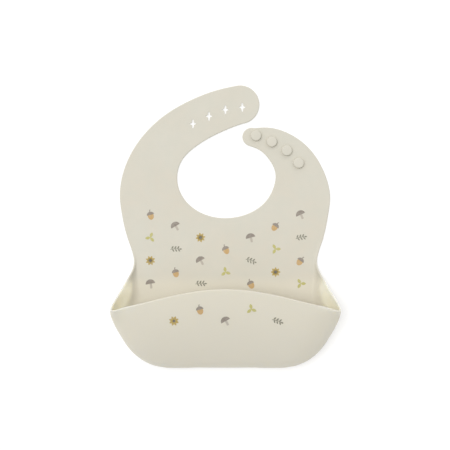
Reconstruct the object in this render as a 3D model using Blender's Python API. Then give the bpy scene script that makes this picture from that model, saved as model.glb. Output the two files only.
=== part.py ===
"""Baby's moulded silicone bib with a catch pocket, lying open on its back.

The sheet lies on the XY plane with its back on z = 0, its front facing +Z and its neck towards +Y.
The pocket is at the -Y end. The tables below are in millimetres; objects are built in metres.

One sheet is split where it flexes: the chest folds up at the waist, both neck straps curl up
along rows of flex lines, and the pocket's front wall swings about the outside of its bottom bend.
"""

import bmesh
import bpy
import numpy as np
from math import cos, pi, radians, sin

MM = 0.001

# Sheet, its rounded edges, and the gap that every two neighbouring pieces keep
SHEET = 1.8
EDGE_RADIUS = SHEET / 2
GAP = 0.3

# Waist, where the chest folds up from the pocket's back panel
WAIST_Y = -36.5
WAIST_HALF_WIDTH = 91.3

# Flex lines across the straps, from the chest to the tip: (neck edge), (outer edge)
SLOTTED_FLEX_LINES = (
    ((-47.0, 38.5), (-103.7, 47.5)),
    ((-44.0, 64.8), (-83.0, 89.5)),
    ((-31.7, 77.9), (-56.4, 113.7)),
    ((-15.8, 88.2), (-34.6, 125.8)),
    ((-1.4, 95.2), (-16.6, 133.2)),
    ((11.0, 100.2), (5.0, 139.0)),
)
BUTTONED_FLEX_LINES = (
    ((48.0, 38.5), (100.9, 47.5)),
    ((49.8, 53.0), (79.8, 81.2)),
    ((44.0, 65.8), (61.4, 93.3)),
    ((33.8, 76.0), (42.3, 98.4)),
)
SLOTTED_TIP_CENTRE = (14.6, 121.3)
SLOTTED_TIP_RADIUS = 19.2
SLOTTED_TIP_HEADING = radians(8)
BUTTONED_TIP_CENTRE = (26.1, 89.0)
BUTTONED_TIP_RADIUS = 9.2
BUTTONED_TIP_HEADING = radians(164)

# Edges of the chest between the waist and the first flex lines, and round the neck
OUTER_LEFT_POINTS = (
    (-WAIST_HALF_WIDTH, WAIST_Y), (-93.4, -24.5), (-97.6, -12.5), (-103.4, 11.5), (-105.5, 28.5)
)
OUTER_RIGHT_POINTS = (
    (WAIST_HALF_WIDTH, WAIST_Y), (93.4, -24.5), (97.4, -12.5), (102.6, 11.5), (104.5, 28.5)
)
NECK_LEFT_POINTS = ((-38.5, 23.5), (-20.8, 11.6))
NECK_BOTTOM_POINT = (0.0, 7.9)
NECK_RIGHT_POINTS = ((39.2, 23.5), (20.6, 11.6))

# Star-shaped slots, from the chest to the tip
SLOT_CENTRES = ((-32.6, 102.1), (-16.6, 109.7), (-0.2, 116.2), (16.7, 118.7))
SLOT_HALF_WIDTH = 3.1
SLOT_HALF_HEIGHT = 4.6
SLOT_WAIST_RADIUS = 1.7
SLOT_POINT_POWER = 2.6
FIRST_SEGMENT_WITH_SLOT = 2

# Mushroom-shaped closure buttons, from the chest to the tip; heights are above the sheet
BUTTON_CENTRES = ((73.0, 62.9), (61.2, 75.3), (46.2, 84.1), (30.4, 90.2))
BUTTON_HEAD_RADIUS = 5.2
BUTTON_HEAD_HEIGHT = 1.6
BUTTON_NECK_RADIUS = 3.1
BUTTON_NECK_HEIGHT = 1.7
BUTTON_UNDER_CHAMFER = 0.4
BUTTON_CROWN_RADIUS = 0.9

# Pocket sections from the middle to the waist, left half. Each section starts on the panel at
# (x, y), leaves it level and outwards, and ends on the free edge at (x, y, z). The last three
# numbers are the lengths of the curve's handles: outwards on the panel, then back from the free
# edge outwards and upwards.
POCKET_SECTIONS = (
    ((0.0, -121.0), (0.0, -61.0, 46.5), (34.0, 86.0, -16.5)),
    ((-30.0, -120.5), (-42.0, -65.5, 46.0), (34.0, 82.0, -16.5)),
    ((-57.0, -118.0), (-80.0, -74.5, 44.0), (32.0, 74.0, -17.0)),
    ((-76.0, -110.0), (-100.0, -79.5, 41.0), (26.0, 32.0, -18.5)),
    ((-82.5, -100.0), (-107.5, -82.0, 39.5), (18.5, 14.0, -18.0)),
    ((-85.5, -86.5), (-111.0, -81.0, 37.5), (15.0, 4.0, -16.0)),
    ((-85.5, -69.0), (-104.0, -66.0, 26.5), (8.0, -4.0, -10.0)),
    ((-86.5, -53.0), (-97.0, -53.0, 13.5), (5.0, -3.5, -6.0)),
    ((-88.2, -38.2), (-91.2, -38.2, 3.2), (1.4, -0.7, -1.0)),
)
SIDE_DRIFT = 0.6

# The front wall reaches this many sections from the middle, and swings about a line at this
# share of its height; its lower edge and the floor's upper edge stand off from the line
FRONT_LAST_SECTION = 1.75
HINGE_V = 0.40
HINGE_EDGE_FRONT = 0.3
HINGE_EDGE_FLOOR = 0.9

# Fineness of the meshes: steps along each stretch
EDGE_STEPS = 4
CHEST_SIDE_STEPS = 12
CHEST_NECK_STEPS = 24
SEGMENT_SIDE_STEPS = 5
TIP_STEPS = 16
PANEL_STEPS = 56
FLOOR_STEPS = 12
FLOOR_RISE_STEPS = 7
FRONT_STEPS = 16
FRONT_RISE_STEPS = 9
GUSSET_STEPS = 24
GUSSET_RISE_STEPS = 12
SLOT_STEPS = 24
BUTTON_SIDES = 24
CROWN_STEPS = 3
SHARP_ANGLE = radians(40)

SILICONE = (0.708, 0.679, 0.584, 1.0)
SILICONE_ROUGHNESS = 0.55


def clear_scene():
    for thing in list(bpy.data.objects):
        bpy.data.objects.remove(thing, do_unlink=True)


def silicone(name):
    material = bpy.data.materials.new(name)
    material.use_nodes = True
    shader = material.node_tree.nodes["Principled BSDF"]
    shader.inputs["Base Color"].default_value = SILICONE
    shader.inputs["Roughness"].default_value = SILICONE_ROUGHNESS
    shader.inputs["Metallic"].default_value = 0.0
    return material


def smooth_curve(points):
    """Natural cubic spline through the points, as a function of the point's number."""
    knots = np.array(points, dtype=float)
    spans = np.linalg.norm(np.diff(knots, axis=0), axis=1)
    count = len(knots)
    matrix = np.eye(count)
    bend = np.zeros_like(knots)
    for i in range(1, count - 1):
        matrix[i, i - 1] = spans[i - 1]
        matrix[i, i] = 2 * (spans[i - 1] + spans[i])
        matrix[i, i + 1] = spans[i]
        rise_after = (knots[i + 1] - knots[i]) / spans[i]
        rise_before = (knots[i] - knots[i - 1]) / spans[i - 1]
        bend[i] = 6 * (rise_after - rise_before)
    bend = np.linalg.solve(matrix, bend)

    def position(number):
        i = min(max(int(number), 0), count - 2)
        right = number - i
        left = 1 - right
        straight = left * knots[i] + right * knots[i + 1]
        curved = (left**3 - left) * bend[i] + (right**3 - right) * bend[i + 1]
        return straight + curved * spans[i] ** 2 / 6

    return position


def turn(vector, angle):
    x, y = vector
    return np.array((x * cos(angle) - y * sin(angle), x * sin(angle) + y * cos(angle)))


def add_object(name, mesh_maker, parent=None):
    """New object from a bmesh in millimetres of world space; its own origin is its parent's."""
    origin = parent.location.copy() if parent else None
    for vertex in mesh_maker.verts:
        vertex.co *= MM
        if origin:
            vertex.co -= origin
    bmesh.ops.recalc_face_normals(mesh_maker, faces=mesh_maker.faces)
    mesh = bpy.data.meshes.new(name)
    mesh_maker.to_mesh(mesh)
    mesh_maker.free()
    mesh.shade_smooth()
    mesh.set_sharp_from_angle(angle=SHARP_ANGLE)
    thing = bpy.data.objects.new(name, mesh)
    bpy.context.collection.objects.link(thing)
    thing.parent = parent
    mesh.materials.append(silicone(name + "_silicone"))
    return thing


def add_axis(name, point):
    """Empty on a joint's axis, for the pieces that turn about it."""
    empty = bpy.data.objects.new(name, None)
    bpy.context.collection.objects.link(empty)
    empty.location = [value * MM for value in point]
    empty.empty_display_size = 0.01
    return empty


def corner_offsets(outline):
    """Vector from each corner of a counter-clockwise outline to its edge-radius inset corner."""
    before = outline - np.roll(outline, 1, axis=0)
    after = np.roll(before, -1, axis=0)
    before /= np.linalg.norm(before, axis=1)[:, None]
    after /= np.linalg.norm(after, axis=1)[:, None]
    outward_before = np.stack((before[:, 1], -before[:, 0]), axis=1)
    outward_after = np.stack((after[:, 1], -after[:, 0]), axis=1)
    middle = outward_before + outward_after
    return 2 * middle / np.sum(middle**2, axis=1)[:, None]


def add_slab(name, outline, parent=None):
    """Flat sheet with this counter-clockwise outline and a full round on every edge."""
    outline = np.array(outline)
    outward = corner_offsets(outline) * EDGE_RADIUS
    slab = bmesh.new()
    rings = []
    for step in range(EDGE_STEPS + 1):
        angle = pi * (step / EDGE_STEPS - 0.5)
        height = EDGE_RADIUS * (1 + sin(angle))
        points = outline - outward * (1 - cos(angle))
        rings.append([slab.verts.new((x, y, height)) for x, y in points])
    for lower, upper in zip(rings, rings[1:]):
        for i in range(len(lower)):
            j = (i + 1) % len(lower)
            slab.faces.new((lower[i], lower[j], upper[j], upper[i]))
    faces = [slab.faces.new(rings[0]), slab.faces.new(rings[-1])]
    slab.normal_update()
    bmesh.ops.triangulate(slab, faces=faces)
    return add_object(name, slab, parent)


def add_turned(name, profile, centre, parent=None):
    """Solid of revolution about +Z from (radius, height) corners, closed by a flat at each end."""
    solid = bmesh.new()
    rings = []
    for radius, height in profile:
        ring = []
        for i in range(BUTTON_SIDES):
            angle = 2 * pi * i / BUTTON_SIDES
            point = (centre[0] + radius * cos(angle), centre[1] + radius * sin(angle), height)
            ring.append(solid.verts.new(point))
        rings.append(ring)
    for lower, upper in zip(rings, rings[1:]):
        for i in range(BUTTON_SIDES):
            j = (i + 1) % BUTTON_SIDES
            solid.faces.new((lower[i], lower[j], upper[j], upper[i]))
    solid.faces.new(rings[0])
    solid.faces.new(rings[-1])
    return add_object(name, solid, parent)


def cut(target, cutter):
    """Takes the cutter's shape out of the target."""
    cutter.hide_render = True
    cutter.display_type = "WIRE"
    boolean = target.modifiers.new("cut_" + cutter.name, "BOOLEAN")
    boolean.operation = "DIFFERENCE"
    boolean.solver = "EXACT"
    boolean.object = cutter


# Outlines of the flat sheet

def flex_frame(flex_line):
    """Neck end, outer end, and unit direction across the line, towards the strap's tip."""
    neck = np.array(flex_line[0])
    outer = np.array(flex_line[1])
    along = (outer - neck) / np.linalg.norm(outer - neck)
    across = np.array((along[1], -along[0]))
    if flex_line in BUTTONED_FLEX_LINES:
        across = -across
    return neck, outer, across


def shifted_line(flex_line, distance):
    neck, outer, across = flex_frame(flex_line)
    return neck + across * distance, outer + across * distance


def tip_ends(centre, radius, heading):
    """Where the rounded tip's arc meets the strap's edges: the left and the right of its heading."""
    leftward = turn((cos(heading), sin(heading)), pi / 2)
    return np.array(centre) + leftward * radius, np.array(centre) - leftward * radius


SLOTTED_TIP_OUTER, SLOTTED_TIP_NECK = tip_ends(
    SLOTTED_TIP_CENTRE, SLOTTED_TIP_RADIUS, SLOTTED_TIP_HEADING
)
BUTTONED_TIP_NECK, BUTTONED_TIP_OUTER = tip_ends(
    BUTTONED_TIP_CENTRE, BUTTONED_TIP_RADIUS, BUTTONED_TIP_HEADING
)

OUTER_LEFT = smooth_curve(
    [*OUTER_LEFT_POINTS, *[line[1] for line in SLOTTED_FLEX_LINES], SLOTTED_TIP_OUTER]
)
OUTER_RIGHT = smooth_curve(
    [*OUTER_RIGHT_POINTS, *[line[1] for line in BUTTONED_FLEX_LINES], BUTTONED_TIP_OUTER]
)
NECK = smooth_curve(
    [
        SLOTTED_TIP_NECK,
        *[line[0] for line in reversed(SLOTTED_FLEX_LINES)],
        *NECK_LEFT_POINTS,
        NECK_BOTTOM_POINT,
        *reversed(NECK_RIGHT_POINTS),
        *[line[0] for line in BUTTONED_FLEX_LINES],
        BUTTONED_TIP_NECK,
    ]
)
SLOTTED_NECK_START = len(SLOTTED_FLEX_LINES)
BUTTONED_NECK_START = SLOTTED_NECK_START + 2 * len(NECK_LEFT_POINTS) + 2
CHEST_EDGE_POINTS = len(OUTER_LEFT_POINTS)


def sample(curve, start, end, steps):
    """Points strictly between two numbered points of a curve."""
    return [curve(start + (end - start) * i / steps) for i in range(1, steps)]


def chest_outline():
    """Counter-clockwise from the slotted strap down to the waist and up round the neck."""
    left_neck, left_outer = shifted_line(SLOTTED_FLEX_LINES[0], -EDGE_RADIUS - GAP)
    right_neck, right_outer = shifted_line(BUTTONED_FLEX_LINES[0], -EDGE_RADIUS - GAP)
    waist = WAIST_Y - EDGE_RADIUS
    last = CHEST_EDGE_POINTS
    return [
        left_outer,
        *reversed(sample(OUTER_LEFT, 0, last, CHEST_SIDE_STEPS)),
        np.array((-WAIST_HALF_WIDTH, waist)),
        np.array((WAIST_HALF_WIDTH, waist)),
        *sample(OUTER_RIGHT, 0, last, CHEST_SIDE_STEPS),
        right_outer,
        right_neck,
        *reversed(sample(NECK, SLOTTED_NECK_START, BUTTONED_NECK_START, CHEST_NECK_STEPS)),
        left_neck,
    ]


def half_turn(centre, start):
    """Points strictly between the ends of half a circle, clockwise from its start."""
    first = np.array(start) - centre
    return [centre + turn(first, -pi * i / TIP_STEPS) for i in range(1, TIP_STEPS)]


def slotted_outline(number):
    """Slotted segment after this flex line, up to the next one or round the tip."""
    neck_start, outer_start = shifted_line(SLOTTED_FLEX_LINES[number], -EDGE_RADIUS)
    outer_number = CHEST_EDGE_POINTS + number
    neck_number = SLOTTED_NECK_START - number
    outer = sample(OUTER_LEFT, outer_number, outer_number + 1, SEGMENT_SIDE_STEPS)
    neck = sample(NECK, neck_number, neck_number - 1, SEGMENT_SIDE_STEPS)
    if number == len(SLOTTED_FLEX_LINES) - 1:
        round_tip = half_turn(np.array(SLOTTED_TIP_CENTRE), SLOTTED_TIP_OUTER)
        end = [SLOTTED_TIP_OUTER, *round_tip, SLOTTED_TIP_NECK]
    else:
        neck_end, outer_end = shifted_line(SLOTTED_FLEX_LINES[number + 1], -EDGE_RADIUS - GAP)
        end = [outer_end, neck_end]
    clockwise = [neck_start, outer_start, *outer, *end, *reversed(neck)]
    return clockwise[::-1]


def buttoned_outline(number):
    """Buttoned segment after this flex line, up to the next one or round the tip."""
    neck_start, outer_start = shifted_line(BUTTONED_FLEX_LINES[number], -EDGE_RADIUS)
    outer_number = CHEST_EDGE_POINTS + number
    neck_number = BUTTONED_NECK_START + number
    outer = sample(OUTER_RIGHT, outer_number, outer_number + 1, SEGMENT_SIDE_STEPS)
    neck = sample(NECK, neck_number, neck_number + 1, SEGMENT_SIDE_STEPS)
    if number == len(BUTTONED_FLEX_LINES) - 1:
        round_tip = half_turn(np.array(BUTTONED_TIP_CENTRE), BUTTONED_TIP_NECK)
        end = [BUTTONED_TIP_OUTER, *reversed(round_tip), BUTTONED_TIP_NECK]
    else:
        neck_end, outer_end = shifted_line(BUTTONED_FLEX_LINES[number + 1], -EDGE_RADIUS - GAP)
        end = [outer_end, neck_end]
    return [neck_start, outer_start, *outer, *end, *reversed(neck)]


# Pocket

def mirrored(section):
    (foot_x, foot_y), (edge_x, edge_y, edge_z), handles = section
    return ((-foot_x, foot_y), (-edge_x, edge_y, edge_z), handles)


ALL_SECTIONS = [*reversed(POCKET_SECTIONS), *[mirrored(section) for section in POCKET_SECTIONS[1:]]]
SECTION_CURVE = smooth_curve([[*foot, *edge, *handles] for foot, edge, handles in ALL_SECTIONS])
FIRST_SECTION = 0
MIDDLE_SECTION = len(POCKET_SECTIONS) - 1
LAST_SECTION = len(ALL_SECTIONS) - 1
TINY_STEP = 1e-4


def section_frame(number):
    """Where a section leaves the panel, and the unit vectors away from the panel and along it."""
    foot = SECTION_CURVE(number)[:2]
    ahead = SECTION_CURVE(min(number + TINY_STEP, LAST_SECTION))[:2]
    behind = SECTION_CURVE(max(number - TINY_STEP, FIRST_SECTION))[:2]
    along = (ahead - behind) / np.linalg.norm(ahead - behind)
    return foot, np.array((along[1], -along[0])), along


def pocket_point(number, v):
    """Point on the middle of the pocket's wall: v is 0 at the panel and 1 at the free edge."""
    values = SECTION_CURVE(number)
    foot, outward, along = section_frame(number)
    edge = values[2:5]
    panel_handle, edge_handle_out, edge_handle_up = values[5:8]
    reach = edge[:2] - foot
    out_end = reach @ outward
    drift_end = reach @ along
    out = (0, panel_handle, out_end + edge_handle_out, out_end)
    drift = (0, 0, drift_end * SIDE_DRIFT, drift_end)
    up = (EDGE_RADIUS, EDGE_RADIUS, edge[2] + edge_handle_up, edge[2])
    weights = ((1 - v) ** 3, 3 * v * (1 - v) ** 2, 3 * v**2 * (1 - v), v**3)
    out_now = np.dot(weights, out)
    drift_now = np.dot(weights, drift)
    up_now = np.dot(weights, up)
    x, y = foot + outward * out_now + along * drift_now
    return np.array((x, y, up_now))


def add_wall(name, numbers, heights, parent=None):
    """Curved wall of the sheet's thickness over a grid of sections and v values."""
    wall = bmesh.new()
    front = []
    back = []
    for number in numbers:
        front_row = []
        back_row = []
        for v in heights:
            here = pocket_point(number, v)
            step_number = TINY_STEP if number < LAST_SECTION else -TINY_STEP
            step_v = TINY_STEP if v < 1 else -TINY_STEP
            along = (pocket_point(number + step_number, v) - here) / step_number
            rise = (pocket_point(number, v + step_v) - here) / step_v
            normal = np.cross(along, rise)
            normal *= EDGE_RADIUS / np.linalg.norm(normal)
            front_row.append(wall.verts.new(here + normal))
            back_row.append(wall.verts.new(here - normal))
        front.append(front_row)
        back.append(back_row)
    rows = len(numbers)
    columns = len(heights)
    for i in range(rows - 1):
        for j in range(columns - 1):
            wall.faces.new((front[i][j], front[i + 1][j], front[i + 1][j + 1], front[i][j + 1]))
            wall.faces.new((back[i][j], back[i][j + 1], back[i + 1][j + 1], back[i + 1][j]))
    for j in (0, columns - 1):
        for i in range(rows - 1):
            wall.faces.new((front[i][j], front[i + 1][j], back[i + 1][j], back[i][j]))
    for i in (0, rows - 1):
        for j in range(columns - 1):
            wall.faces.new((front[i][j], front[i][j + 1], back[i][j + 1], back[i][j]))
    bmesh.ops.triangulate(wall, faces=wall.faces[:])
    return add_object(name, wall, parent)


def spread(start, end, steps):
    return [start + (end - start) * i / steps for i in range(steps + 1)]


def section_step(number, distance):
    """Change of section number that moves this far along the panel's edge."""
    here = SECTION_CURVE(number)[:2]
    ahead = SECTION_CURVE(number + TINY_STEP)[:2]
    return distance * TINY_STEP / np.linalg.norm(ahead - here)


def hinge_step(distance):
    """Change of v that moves this far up the middle section at the hinge."""
    here = pocket_point(MIDDLE_SECTION, HINGE_V)
    ahead = pocket_point(MIDDLE_SECTION, HINGE_V + TINY_STEP)
    return distance * TINY_STEP / np.linalg.norm(ahead - here)


def lower_panel_outline():
    """Back of the pocket, inside the line where the pocket's walls leave it."""
    points = []
    for number in spread(FIRST_SECTION, LAST_SECTION, PANEL_STEPS):
        foot, outward, _ = section_frame(number)
        points.append(foot - outward * GAP)
    top = WAIST_Y - EDGE_RADIUS - GAP
    return [np.array((points[0][0], top)), *points, np.array((points[-1][0], top))]


def add_pocket(front_axis):
    left_end = MIDDLE_SECTION - FRONT_LAST_SECTION
    right_end = MIDDLE_SECTION + FRONT_LAST_SECTION
    half_gap = section_step(left_end, GAP)
    floor_numbers = spread(left_end + half_gap, right_end - half_gap, FLOOR_STEPS)
    floor_heights = spread(0, HINGE_V - hinge_step(HINGE_EDGE_FLOOR), FLOOR_RISE_STEPS)
    add_wall("pocket_floor", floor_numbers, floor_heights)
    front_numbers = spread(left_end + half_gap, right_end - half_gap, FRONT_STEPS)
    front_heights = spread(HINGE_V + hinge_step(HINGE_EDGE_FRONT), 1, FRONT_RISE_STEPS)
    add_wall("pocket_front", front_numbers, front_heights, front_axis)
    left_numbers = spread(FIRST_SECTION, left_end - half_gap, GUSSET_STEPS)
    right_numbers = spread(right_end + half_gap, LAST_SECTION, GUSSET_STEPS)
    gusset_heights = spread(0, 1, GUSSET_RISE_STEPS)
    add_wall("pocket_gusset_left", left_numbers, gusset_heights)
    add_wall("pocket_gusset_right", right_numbers, gusset_heights)


# Straps

def line_middle(flex_line):
    neck, outer, _ = flex_frame(flex_line)
    middle = (neck + outer) / 2
    return (*middle, EDGE_RADIUS)


def star(centre):
    """Four-pointed slot cutter, its points along X and Y."""
    outline = []
    for i in range(SLOT_STEPS):
        angle = 2 * pi * i / SLOT_STEPS
        reach = np.hypot(SLOT_HALF_WIDTH * cos(angle), SLOT_HALF_HEIGHT * sin(angle))
        point_share = abs(cos(2 * angle)) ** SLOT_POINT_POWER
        radius = SLOT_WAIST_RADIUS + (reach - SLOT_WAIST_RADIUS) * point_share
        outline.append((centre[0] + radius * cos(angle), centre[1] + radius * sin(angle)))
    cutter = bmesh.new()
    bottom = [cutter.verts.new((x, y, -SHEET)) for x, y in outline]
    top = [cutter.verts.new((x, y, 2 * SHEET)) for x, y in outline]
    for i in range(SLOT_STEPS):
        j = (i + 1) % SLOT_STEPS
        cutter.faces.new((bottom[i], bottom[j], top[j], top[i]))
    cutter.faces.new(bottom)
    cutter.faces.new(top)
    return cutter


def add_slotted_strap():
    for number, flex_line in enumerate(SLOTTED_FLEX_LINES):
        axis = add_axis(f"slotted_strap_axis_{number + 1}", line_middle(flex_line))
        segment = add_slab(f"slotted_strap_{number + 1}", slotted_outline(number), axis)
        if number >= FIRST_SEGMENT_WITH_SLOT:
            centre = SLOT_CENTRES[number - FIRST_SEGMENT_WITH_SLOT]
            cut(segment, add_object(f"star_cutter_{number + 1}", star(centre)))


def button_profile():
    """Neck from the sheet's back, flat underside, and a head with a rounded crown."""
    shoulder = SHEET + BUTTON_NECK_HEIGHT
    crown = shoulder + BUTTON_HEAD_HEIGHT - BUTTON_CROWN_RADIUS
    profile = [
        (BUTTON_NECK_RADIUS, 0),
        (BUTTON_NECK_RADIUS, shoulder),
        (BUTTON_HEAD_RADIUS - BUTTON_UNDER_CHAMFER, shoulder),
        (BUTTON_HEAD_RADIUS, shoulder + BUTTON_UNDER_CHAMFER),
    ]
    for i in range(CROWN_STEPS + 1):
        angle = pi / 2 * i / CROWN_STEPS
        inset = BUTTON_CROWN_RADIUS * (1 - cos(angle))
        profile.append((BUTTON_HEAD_RADIUS - inset, crown + BUTTON_CROWN_RADIUS * sin(angle)))
    return profile


def add_buttoned_strap():
    profile = button_profile()
    hole = [(BUTTON_NECK_RADIUS + GAP, -SHEET), (BUTTON_NECK_RADIUS + GAP, 2 * SHEET)]
    for number, flex_line in enumerate(BUTTONED_FLEX_LINES):
        axis = add_axis(f"buttoned_strap_axis_{number + 1}", line_middle(flex_line))
        segment = add_slab(f"buttoned_strap_{number + 1}", buttoned_outline(number), axis)
        centre = BUTTON_CENTRES[number]
        cut(segment, add_turned(f"hole_cutter_{number + 1}", hole, centre))
        add_turned(f"closure_button_{number + 1}", profile, centre, axis)


def build():
    clear_scene()
    add_slab("lower_panel", lower_panel_outline())
    waist_axis = add_axis("waist_axis", (0, WAIST_Y, EDGE_RADIUS))
    add_slab("chest_panel", chest_outline(), waist_axis)
    hinge_point = pocket_point(MIDDLE_SECTION, HINGE_V)
    add_pocket(add_axis("pocket_front_axis", hinge_point))
    add_slotted_strap()
    add_buttoned_strap()


build()
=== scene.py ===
"""Looks of the moulded silicone bib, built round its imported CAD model.

The whole bib is first made as one thin middle surface: the flat sheet, triangulated, and the
pocket's wall, lofted from its sections. It is then given its thickness and its rounded rims, and
divided into one piece for each stretch that bends across a joint. The pieces keep the normals of
the whole sheet, so that no seam shows where they meet. Tables are in millimetres, as in the CAD.
"""

from math import cos, pi, radians, sin

import bpy
import numpy as np
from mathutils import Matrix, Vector
from mathutils.bvhtree import BVHTree
from mathutils.geometry import delaunay_2d_cdt


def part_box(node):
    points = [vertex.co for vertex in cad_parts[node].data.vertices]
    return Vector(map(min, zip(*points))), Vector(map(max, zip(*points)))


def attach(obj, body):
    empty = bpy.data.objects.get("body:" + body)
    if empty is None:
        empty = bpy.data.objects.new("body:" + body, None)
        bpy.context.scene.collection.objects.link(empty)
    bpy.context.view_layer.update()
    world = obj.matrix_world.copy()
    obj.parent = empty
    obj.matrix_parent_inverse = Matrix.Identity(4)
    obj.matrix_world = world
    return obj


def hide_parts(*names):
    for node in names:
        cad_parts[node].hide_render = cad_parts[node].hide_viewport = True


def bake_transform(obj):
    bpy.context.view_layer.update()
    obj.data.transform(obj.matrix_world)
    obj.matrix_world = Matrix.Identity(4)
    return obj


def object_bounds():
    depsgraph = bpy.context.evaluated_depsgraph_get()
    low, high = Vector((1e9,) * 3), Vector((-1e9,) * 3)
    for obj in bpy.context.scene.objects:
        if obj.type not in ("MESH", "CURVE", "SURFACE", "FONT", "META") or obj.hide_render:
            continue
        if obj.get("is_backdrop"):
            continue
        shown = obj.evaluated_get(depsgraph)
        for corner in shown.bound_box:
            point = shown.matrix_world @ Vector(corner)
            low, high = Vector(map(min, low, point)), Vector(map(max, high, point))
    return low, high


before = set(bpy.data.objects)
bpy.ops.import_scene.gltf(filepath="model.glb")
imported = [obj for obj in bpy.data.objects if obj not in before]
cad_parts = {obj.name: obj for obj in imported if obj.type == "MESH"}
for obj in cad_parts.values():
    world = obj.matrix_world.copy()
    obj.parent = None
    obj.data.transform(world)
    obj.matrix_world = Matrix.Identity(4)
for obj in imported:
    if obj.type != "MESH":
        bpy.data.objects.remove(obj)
CAD_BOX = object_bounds()

MM = 0.001
REST_PLACE = "rest_place"

# The CAD's driving sizes
SHEET = 1.8
EDGE_RADIUS = SHEET / 2
WAIST_Y = -36.5
WAIST_HALF_WIDTH = 91.3
SLOTTED_FLEX_LINES = (
    ((-47.0, 38.5), (-103.7, 47.5)),
    ((-44.0, 64.8), (-83.0, 89.5)),
    ((-31.7, 77.9), (-56.4, 113.7)),
    ((-15.8, 88.2), (-34.6, 125.8)),
    ((-1.4, 95.2), (-16.6, 133.2)),
    ((11.0, 100.2), (5.0, 139.0)),
)
BUTTONED_FLEX_LINES = (
    ((48.0, 38.5), (100.9, 47.5)),
    ((49.8, 53.0), (79.8, 81.2)),
    ((44.0, 65.8), (61.4, 93.3)),
    ((33.8, 76.0), (42.3, 98.4)),
)
SLOTTED_TIP_CENTRE = (14.6, 121.3)
SLOTTED_TIP_RADIUS = 19.2
SLOTTED_TIP_HEADING = radians(8)
BUTTONED_TIP_CENTRE = (26.1, 89.0)
BUTTONED_TIP_RADIUS = 9.2
BUTTONED_TIP_HEADING = radians(164)
OUTER_LEFT_POINTS = (
    (-WAIST_HALF_WIDTH, WAIST_Y), (-93.4, -24.5), (-97.6, -12.5), (-103.4, 11.5), (-105.5, 28.5)
)
OUTER_RIGHT_POINTS = (
    (WAIST_HALF_WIDTH, WAIST_Y), (93.4, -24.5), (97.4, -12.5), (102.6, 11.5), (104.5, 28.5)
)
NECK_LEFT_POINTS = ((-38.5, 23.5), (-20.8, 11.6))
NECK_BOTTOM_POINT = (0.0, 7.9)
NECK_RIGHT_POINTS = ((39.2, 23.5), (20.6, 11.6))
SLOT_CENTRES = ((-32.6, 102.1), (-16.6, 109.7), (-0.2, 116.2), (16.7, 118.7))
SLOT_HALF_WIDTH = 3.1
SLOT_HALF_HEIGHT = 4.6
BUTTON_HEAD_RADIUS = 5.2
BUTTON_HEAD_HEIGHT = 1.6
BUTTON_NECK_RADIUS = 3.1
BUTTON_COUNT = 4
POCKET_SECTIONS = (
    ((0.0, -121.0), (0.0, -61.0, 46.5), (34.0, 86.0, -16.5)),
    ((-30.0, -120.5), (-42.0, -65.5, 46.0), (34.0, 82.0, -16.5)),
    ((-57.0, -118.0), (-80.0, -74.5, 44.0), (32.0, 74.0, -17.0)),
    ((-76.0, -110.0), (-100.0, -79.5, 41.0), (26.0, 32.0, -18.5)),
    ((-82.5, -100.0), (-107.5, -82.0, 39.5), (18.5, 14.0, -18.0)),
    ((-85.5, -86.5), (-111.0, -81.0, 37.5), (15.0, 4.0, -16.0)),
    ((-85.5, -69.0), (-104.0, -66.0, 26.5), (8.0, -4.0, -10.0)),
    ((-86.5, -53.0), (-97.0, -53.0, 13.5), (5.0, -3.5, -6.0)),
    ((-88.2, -38.2), (-91.2, -38.2, 3.2), (1.4, -0.7, -1.0)),
)
SIDE_DRIFT = 0.6
STRAPS = (("slotted_strap", SLOTTED_FLEX_LINES), ("buttoned_strap", BUTTONED_FLEX_LINES))

# How the gusset's edge runs out into the chest's edge above the waist
RUN_OUT_SECTIONS = (
    ((-89.3, -26.0), (-93.1, -25.6, 1.25), (1.3, -1.25, -0.12)),
    ((-93.6, -13.6), (-97.5, -12.5, EDGE_RADIUS), (1.35, -1.35, 0.0)),
)
RUN_OUT_NUMBER = 2

# Fineness of the meshes
RIM_SPACING = 1.6
GRID_SPACING = 1.9
GRID_CLEARANCE = 0.55
SECTION_SPACING = 2.0
WALL_STEPS = 34
RIM_STEPS = 6
DENSE = 400
HALVINGS = 40
TINY_STEP = 1e-4
SAME_PLACE = 1e-6
TRIANGULATION_LIMIT = 1e-5
PROBE_CLEARANCE = 100.0

# Zones over which the sheet bends about a flex line, measured from the line
WAIST_ZONE = 7.0
STRAP_ZONES = {
    "slotted_strap": (12.0, 9.0, 4.8, 4.8, 4.8, 4.8),
    "buttoned_strap": (6.0, 4.8, 4.8, 4.8),
}
ZONE_MARGIN = 0.3

# Slots: star-shaped, with a small fillet on both faces
SLOT_WAIST = 1.7
SLOT_POINT_POWER = 2.6
SLOT_FILLET = 0.15
SLOT_STEPS = 56
SLOT_FILLET_STEPS = 3

# Buttons: fillets at the foot and under the head, the head's rounded edges and its faint dome
BUTTON_FOOT_DEPTH = 0.4
BUTTON_FILLET = 0.5
BUTTON_UNDER_FILLET = 0.3
BUTTON_RIM = 0.45
BUTTON_CROWN = 0.95
BUTTON_DOME = 0.12
BUTTON_STEPS = 5
BUTTON_SIDES = 72
BUTTON_DOME_SHARES = (0.75, 0.5, 0.25)
BUTTON_SHARP = radians(50)


# Curves

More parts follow.
